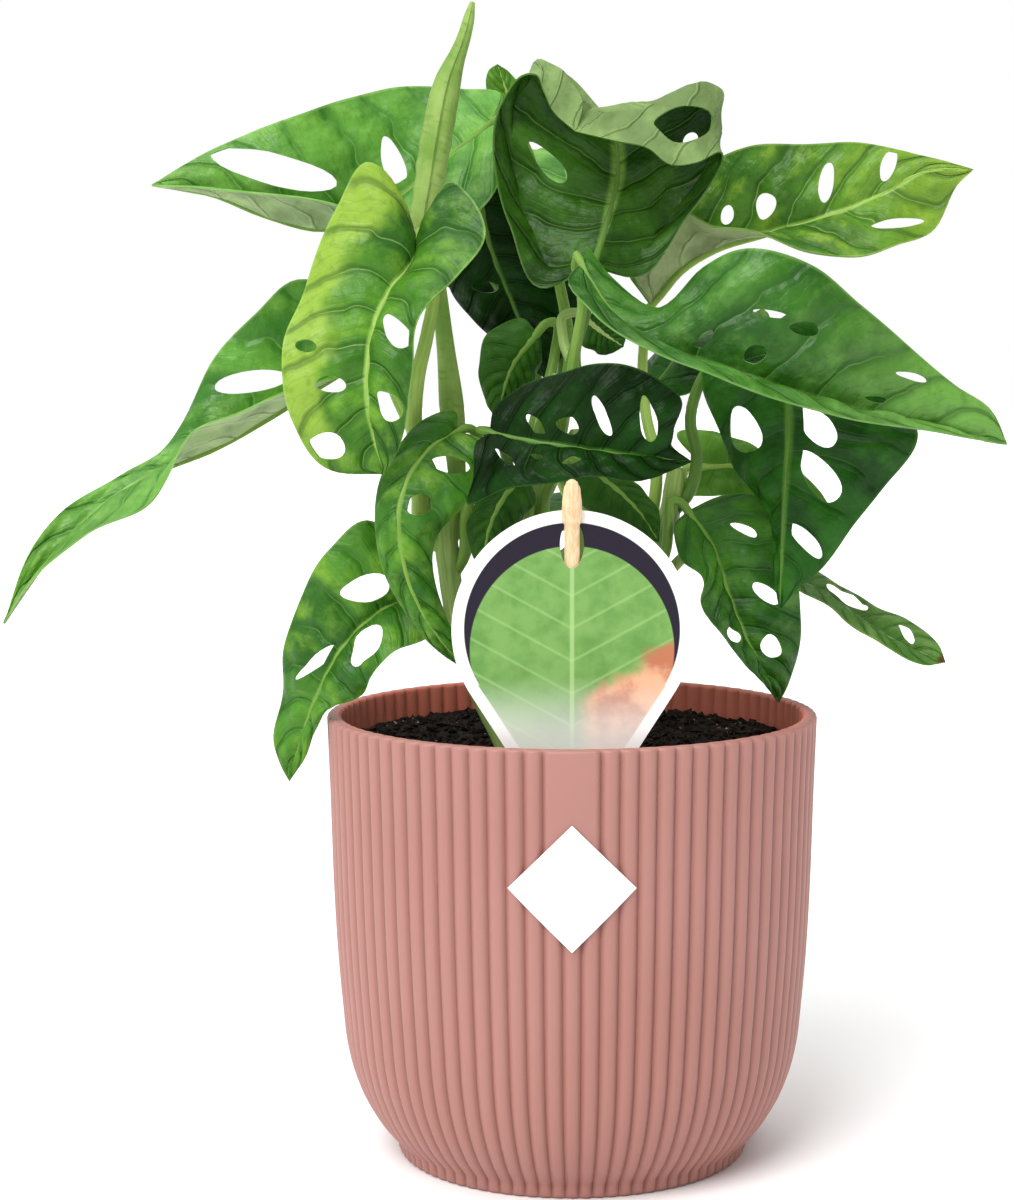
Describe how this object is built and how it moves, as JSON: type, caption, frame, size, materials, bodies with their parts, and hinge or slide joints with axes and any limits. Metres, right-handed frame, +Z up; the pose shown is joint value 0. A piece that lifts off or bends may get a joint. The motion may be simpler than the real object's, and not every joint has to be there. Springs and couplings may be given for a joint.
{
  "type": "potted monstera adansonii plant",
  "caption": "Swiss cheese vine with holed leaves on upright stems, growing in a ribbed round plastic pot with a plant label on a wooden peg.",
  "frame": {"origin": "on the pot's axis at the surface the pot stands on", "axes": "+Z up along the pot's axis; the pot's plain panel, its sticker and the label face -Y; +X is to the right as seen from the front"},
  "size_m": [0.2917, 0.1967, 0.3361],
  "materials": {
    "pot": "satin moulded plastic, dusty pink",
    "soil": "moist dark potting mix",
    "sticker": "smooth white film",
    "label": "printed card with a gloss coat",
    "stake": "raw light wood",
    "stem": "living green stem",
    "leaf_dark": "waxy deep green leaf",
    "leaf_mid": "waxy green leaf",
    "leaf_lime": "waxy young yellow-green leaf",
    "leaf_pale": "soft pale green of a young or reversed leaf"
  },
  "bodies": {
    "root": {"pot": "pot", "soil": "soil", "sticker": "sticker", "label": "label", "stake": "stake", "stem_left": "stem", "stem_middle": "stem", "stem_right": "stem", "stem_back": "stem", "spear": "leaf_pale", "leaf_front_left": "leaf_lime", "leaf_upper_left": "leaf_mid", "leaf_far_left": "leaf_mid", "leaf_back_centre": "leaf_dark", "leaf_top_cup": "leaf_dark", "leaf_upper_right": "leaf_lime", "leaf_right_large": "leaf_mid", "leaf_right_hanging": "leaf_dark", "leaf_right_low": "leaf_mid", "leaf_right_narrow": "leaf_pale", "leaf_front_centre": "leaf_dark", "leaf_left_curl": "leaf_mid", "leaf_lower_left": "leaf_mid", "leaf_small_lime": "leaf_lime", "leaf_young_top": "leaf_lime", "leaf_small_mid": "leaf_mid", "leaf_small_centre": "leaf_pale", "leaf_low_left": "leaf_mid", "leaf_low_right": "leaf_mid", "leaf_rear_high": "leaf_mid", "leaf_rear_left": "leaf_dark", "leaf_rear_right": "leaf_dark", "leaf_rear_low": "leaf_mid"}
  },
  "joints": []
}
